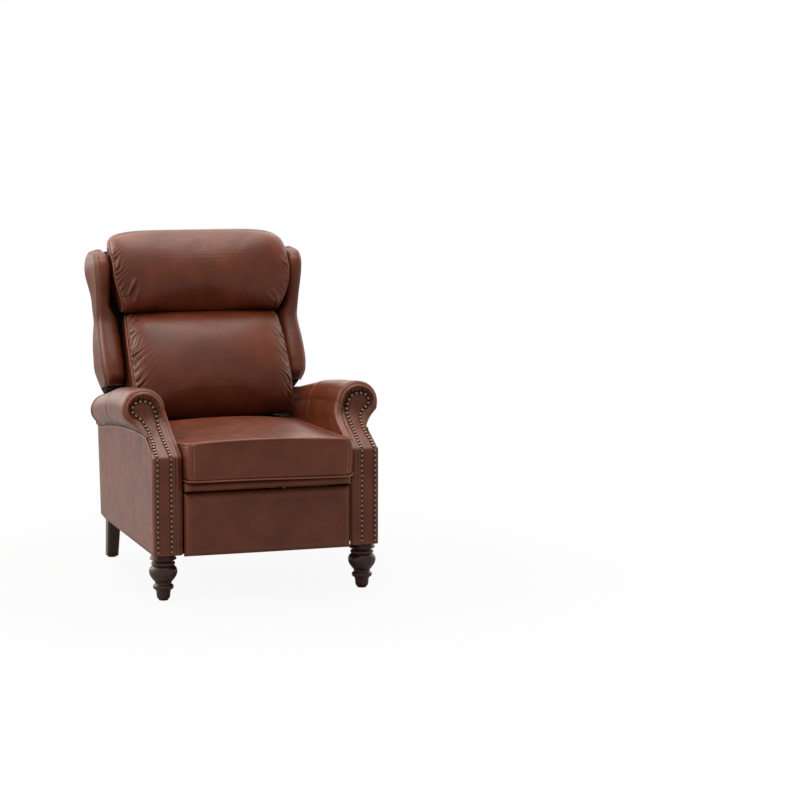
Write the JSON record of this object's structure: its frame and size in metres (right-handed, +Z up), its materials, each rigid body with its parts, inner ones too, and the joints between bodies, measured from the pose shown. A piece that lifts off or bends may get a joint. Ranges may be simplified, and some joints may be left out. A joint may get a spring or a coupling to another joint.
{
  "type": "wingback recliner",
  "caption": "Leather wingback recliner with rolled nailed arms, turned front legs, stuffed back and head pillows, and a footrest that swings out as the back reclines.",
  "frame": {"origin": "middle of the chair's footprint, on the floor under the leg glides", "axes": "+Z up, the chair faces -Y, +X to the right of someone who faces the chair"},
  "size_m": [0.798, 0.9878, 1.0536],
  "materials": {
    "leather": "aged brown leather, semi-gloss",
    "leg_wood": "espresso stain under satin lacquer",
    "frame_wood": "bare hardwood",
    "black_steel": "black painted steel",
    "spring_steel": "drawn wire",
    "webbing": "woven elastic webbing",
    "glide_plastic": "matt",
    "nail_brass": "antique brass",
    "dark_lining": "black lining cloth"
  },
  "bodies": {
    "base": {"left_front_leg": "leg_wood", "right_front_leg": "leg_wood", "left_rear_leg": "leg_wood", "right_rear_leg": "leg_wood", "left_front_glide": "glide_plastic", "right_front_glide": "glide_plastic", "left_rear_glide": "glide_plastic", "right_rear_glide": "glide_plastic", "left_arm_front_panel": "leather", "right_arm_front_panel": "leather", "left_arm_roll": "leather", "right_arm_roll": "leather", "left_arm_outer_panel": "leather", "right_arm_outer_panel": "leather", "left_arm_inner_panel": "leather", "right_arm_inner_panel": "leather", "left_arm_bottom_rail": "frame_wood", "right_arm_bottom_rail": "frame_wood", "left_arm_top_rail": "frame_wood", "right_arm_top_rail": "frame_wood", "left_arm_front_post": "frame_wood", "right_arm_front_post": "frame_wood", "left_arm_rear_post": "frame_wood", "right_arm_rear_post": "frame_wood", "mid_cross_rail": "frame_wood", "rear_cross_rail": "frame_wood", "left_base_channel": "black_steel", "right_base_channel": "black_steel"},
    "seat": {"left_seat_side_rail": "frame_wood", "right_seat_side_rail": "frame_wood", "seat_front_rail": "frame_wood", "seat_rear_rail": "frame_wood", "left_seat_side_plate": "black_steel", "right_seat_side_plate": "black_steel", "seat_springs": "spring_steel", "seat_band": "leather", "seat_cushion": "leather"},
    "back": {"left_back_upright": "frame_wood", "right_back_upright": "frame_wood", "back_top_rail": "frame_wood", "back_bottom_rail": "frame_wood", "left_back_bracket": "black_steel", "right_back_bracket": "black_steel", "back_webbing": "webbing", "left_wing": "leather", "right_wing": "leather", "outer_back": "leather", "back_pillow": "leather", "head_pillow": "leather"},
    "rear_links": {"left_rear_link": "black_steel", "right_rear_link": "black_steel", "torque_tube": "black_steel"},
    "front_links": {"left_front_link": "black_steel", "right_front_link": "black_steel"},
    "cross_links": {"left_cross_link": "black_steel", "right_cross_link": "black_steel"},
    "footrest": {"footrest_pad": "leather", "footrest_board": "frame_wood", "left_footrest_bracket": "black_steel", "right_footrest_bracket": "black_steel"}
  },
  "joints": [
    {"name": "seat_glide", "type": "slide", "parent": "base", "child": "seat", "axis": [0, -1, 0], "range_m": [0, 0.041]},
    {"name": "back_recline", "type": "hinge", "parent": "seat", "child": "back", "pos_m": [0, 0.30555, 0.4], "axis": [-1, 0, 0], "range_deg": [0, 30]},
    {"name": "rear_link_swing", "type": "hinge", "parent": "seat", "child": "rear_links", "pos_m": [0, -0.31245, 0.3], "axis": [-1, 0, 0], "range_deg": [0, 146]},
    {"name": "front_link_swing", "type": "hinge", "parent": "seat", "child": "front_links", "pos_m": [0, -0.37843, 0.31645], "axis": [-1, 0, 0], "range_deg": [0, 146]},
    {"name": "cross_link_pivot", "type": "hinge", "parent": "rear_links", "child": "cross_links", "pos_m": [0, -0.16009, 0.19331], "axis": [-1, 0, 0], "range_deg": [-146, 0]},
    {"name": "footrest_pivot", "type": "hinge", "parent": "cross_links", "child": "footrest", "pos_m": [0, -0.37355, 0.24654], "axis": [-1, 0, 0], "range_deg": [0, 91]}
  ],
  "couplings": [
    {"joint": "seat_glide", "follows": "back_recline", "m_per_rad": 0.076394},
    {"joint": "rear_link_swing", "follows": "back_recline", "ratio": 4.8333},
    {"joint": "front_link_swing", "follows": "back_recline", "ratio": 4.8333},
    {"joint": "cross_link_pivot", "follows": "back_recline", "ratio": -4.8333},
    {"joint": "footrest_pivot", "follows": "back_recline", "ratio": 3}
  ]
}
